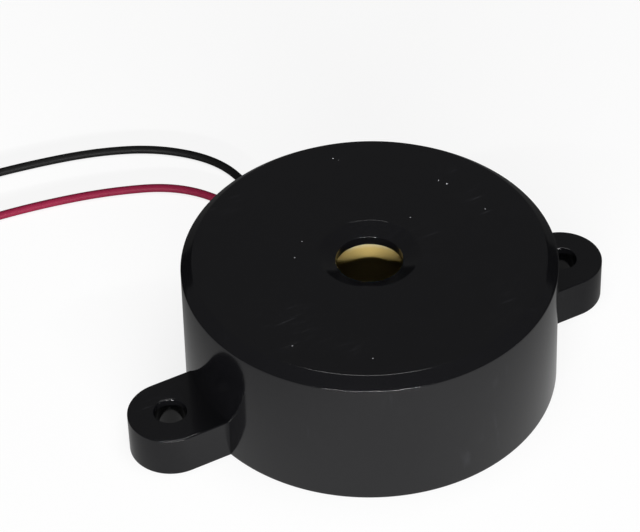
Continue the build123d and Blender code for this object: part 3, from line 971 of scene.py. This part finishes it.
def white_table():
    """Matt white table: white to the camera, with the object's shadow; in reflections a painted pool of
    light that fades with distance.
    """
    mat, tree, shader = material("white_table", Roughness=0.9)
    shader.inputs["Base Color"].default_value = grey(TABLE_WHITE)
    shader.inputs["Specular IOR Level"].default_value = 0.0
    path = add(tree, "ShaderNodeLightPath")
    glossy = add(tree, "ShaderNodeMath", {0: path.outputs["Is Glossy Ray"],
                                          1: path.outputs["Is Transmission Ray"]},
                 operation="MAXIMUM")
    shadowed = add(tree, "ShaderNodeBsdfDiffuse", {"Color": grey(TABLE_SHADE)})
    glow = add(tree, "ShaderNodeEmission", {"Color": grey(1), "Strength": TABLE_GLOW})
    seen = add(tree, "ShaderNodeAddShader", {0: shadowed.outputs[0], 1: glow.outputs[0]})
    place = add(tree, "ShaderNodeTexCoord")
    # Painted pool of light, seen only in reflections: bright near a point in front of the object, dimmer
    # far from it
    far = add(tree, "ShaderNodeVectorMath", {0: place.outputs["Object"], 1: PAINTED_POOL_CENTRE},
              operation="DISTANCE")
    painted_pool = add(tree, "ShaderNodeMapRange", {
        "Value": far.outputs["Value"], "From Min": PAINTED_POOL_NEAR, "From Max": PAINTED_POOL_FAR,
        "To Min": PAINTED_POOL_LEVELS[0], "To Max": PAINTED_POOL_LEVELS[1],
    }, interpolation_type="SMOOTHSTEP")
    painted_pool_light = add(tree, "ShaderNodeEmission", {"Color": grey(1),
                                                "Strength": painted_pool.outputs["Result"]})
    indirect = add(tree, "ShaderNodeMixShader", {0: glossy.outputs[0], 1: shader.outputs["BSDF"],
                                                 2: painted_pool_light.outputs[0]})
    mixed = add(tree, "ShaderNodeMixShader", {0: path.outputs["Is Camera Ray"],
                                              1: indirect.outputs[0], 2: seen.outputs[0]})
    output = next(n for n in tree.nodes if n.type == "OUTPUT_MATERIAL")
    tree.links.new(mixed.outputs[0], output.inputs["Surface"])
    return mat


BEAM_DISTANCE = 0.55
BEAM_RADIUS = 0.005             # of the spot that a beam lights
BEAM_AIM = 0.0040               # behind the case's axis
BEAM_TURNS = (-24, -16, -8, 0, 8, 16, 24)
HIGH_BEAM = {"elevation": math.radians(21.3), "radius": 0.002, "colour": (1.0, 0.96, 0.9)}
LOW_BEAM = {"elevation": math.radians(18.2), "radius": 0.001, "colour": (0.14, 0.3, 1.0)}

ROOM_LEVEL = 0.012
PANEL_LEVEL = 0.03
PANEL_EDGE = math.radians(24)   # half-angles over which the panel fades into the room
PANEL_CORE = math.radians(9)


def studio_world():
    """Dark room with a large dim panel behind the object, which the case's top mirrors."""
    world = bpy.data.worlds.new("studio")
    world.use_nodes = True
    tree = world.node_tree
    tree.nodes.clear()
    place = add(tree, "ShaderNodeTexCoord")
    behind = direction(CAMERA_AZIMUTH + math.pi, CAMERA_ELEVATION)
    towards = add(tree, "ShaderNodeVectorMath", {0: place.outputs["Generated"], 1: behind},
                  operation="DOT_PRODUCT")
    level = add(tree, "ShaderNodeMapRange", {
        "Value": towards.outputs["Value"], "From Min": math.cos(PANEL_EDGE),
        "From Max": math.cos(PANEL_CORE), "To Min": ROOM_LEVEL, "To Max": PANEL_LEVEL,
    }, interpolation_type="SMOOTHSTEP")
    background = add(tree, "ShaderNodeBackground", {"Color": grey(1),
                                                    "Strength": level.outputs["Result"]})
    add(tree, "ShaderNodeOutputWorld", {"Surface": background.outputs[0]})
    bpy.context.scene.world = world


def snooted_lamp(name, turn, irradiance, elevation, radius, colour):
    """Narrow beam through the sound hole onto the disc, a little behind the case's axis."""
    azimuth = CAMERA_AZIMUTH + math.radians(turn)
    back = direction(azimuth, elevation)
    aim = direction(CAMERA_AZIMUTH + math.pi, 0) * BEAM_AIM + Vector((0, 0, DISC_HIGH.z))
    data = bpy.data.lights.new(name, "SPOT")
    data.energy = 4 * math.pi * BEAM_DISTANCE ** 2 * irradiance * math.pi / math.sin(elevation)
    data.color = colour
    data.shadow_soft_size = radius
    data.spot_size = 2 * math.atan(BEAM_RADIUS / BEAM_DISTANCE)
    data.spot_blend = 0.3
    made = bpy.data.objects.new(name, data)
    made.location = aim + back * BEAM_DISTANCE
    made.rotation_euler = back.to_track_quat("Z", "Y").to_euler()
    bpy.context.scene.collection.objects.link(made)
    return made


def only_on(lamps, name, targets):
    """These lamps light only these pieces."""
    lit = bpy.data.collections.new(name)
    for target in targets:
        lit.objects.link(bpy.data.objects[target])
    for each in lamps:
        each.light_linking.receiver_collection = lit


STRIP_DISTANCE = 1.2
STRIP_TURNS = (-18, 0, 18)
STRIP_HALF_WIDTH = math.radians(9)
STRIP_LOW, STRIP_HIGH = math.radians(12.4), math.radians(13.1)
EDGE_ELEVATION, EDGE_SIZE = math.radians(62), (0.2, 0.12)
SOFTBOX_SIDE = 8.0
FILL_ELEVATION, FILL_SIZE = math.radians(80), (0.8, 0.8)
NEAR = 1.0                      # distance of the other lamps
TABLE_HALF = 3.0
TABLE_DROP = 0.00002            # keeps the table off the case's flat base


class BUZZER_OT_studio(Operator):
    """Set the table, lamps, surround and camera"""
    bl_idname = "buzzer.studio"
    bl_label = "Studio"

    def execute(self, context):
        studio = settings().studio
        mesh = bmesh.new()
        bmesh.ops.create_grid(mesh, x_segments=4, y_segments=4, size=TABLE_HALF)
        data = bpy.data.meshes.new("table")
        mesh.to_mesh(data)
        mesh.free()
        data.materials.append(white_table())
        table = bpy.data.objects.new("table", data)
        table.location = (0, 0, -TABLE_DROP)
        context.scene.collection.objects.link(table)
        studio_world()
        studio_camera()
        strip_size = (2 * STRIP_DISTANCE * math.tan(STRIP_HALF_WIDTH),
                      STRIP_DISTANCE * (STRIP_HIGH - STRIP_LOW))
        for turn in STRIP_TURNS:
            lamp("front_strip", CAMERA_AZIMUTH + math.radians(turn), (STRIP_LOW + STRIP_HIGH) / 2,
                 STRIP_DISTANCE, strip_size, studio.strips / len(STRIP_TURNS))
        share = 1 / len(BEAM_TURNS)
        beams = []
        for turn in BEAM_TURNS:
            beams.append(snooted_lamp("disc_beam", turn, studio.disc_beams * share, **HIGH_BEAM))
            beams.append(snooted_lamp("disc_beam_low", turn, studio.disc_beams_low * share,
                                      **LOW_BEAM))
        only_on(beams, "beam_targets", ["sounding_disc"])
        edge = lamp("edge_light", CAMERA_AZIMUTH + math.pi, EDGE_ELEVATION, NEAR, EDGE_SIZE,
                    studio.edge)
        dome = lamp("case_softbox", 0, math.pi / 2, NEAR, (SOFTBOX_SIDE, SOFTBOX_SIDE), 1.0)
        dome.data.energy = studio.softbox * math.pi * SOFTBOX_SIDE ** 2 * math.pi
        only_on([edge, dome], "case_targets", ["case"])
        fill = lamp("overhead_fill", 0, FILL_ELEVATION, NEAR, FILL_SIZE, studio.fill)
        fill.visible_glossy = False
        context.scene.view_settings.view_transform = "Standard"
        return {"FINISHED"}


# ------------------------------------------------------------------ panel and registration
STEPS = [BUZZER_OT_leads, BUZZER_OT_case, BUZZER_OT_element, BUZZER_OT_circuit, BUZZER_OT_studio]


class BUZZER_PT_panel(Panel):
    """Lists the buzzer's sizes, colours, lamp levels and build steps"""
    bl_idname = "BUZZER_PT_panel"
    bl_label = "Piezo Buzzer"
    bl_space_type = "VIEW_3D"
    bl_region_type = "UI"
    bl_category = "Buzzer"

    def draw(self, context):
        for group in ("case", "leads", "studio"):
            box = self.layout.box()
            held = getattr(settings(), group)
            for name in held.bl_rna.properties.keys():
                if name not in ("rna_type", "name"):
                    box.prop(held, name)
        for step in STEPS:
            self.layout.operator(step.bl_idname)


CLASSES = [CaseSettings, LeadSettings, StudioSettings, BuzzerSettings, *STEPS, BUZZER_PT_panel]


def register():
    for made in CLASSES:
        bpy.utils.register_class(made)
    bpy.types.Scene.buzzer = PointerProperty(type=BuzzerSettings, name="Piezo buzzer",
                                             description="Settings of the buzzer")


def unregister():
    del bpy.types.Scene.buzzer
    for made in reversed(CLASSES):
        bpy.utils.unregister_class(made)


def main():
    register()
    for step in STEPS:
        group, name = step.bl_idname.split(".")
        getattr(getattr(bpy.ops, group), name)()


if __name__ == "__main__":
    main()
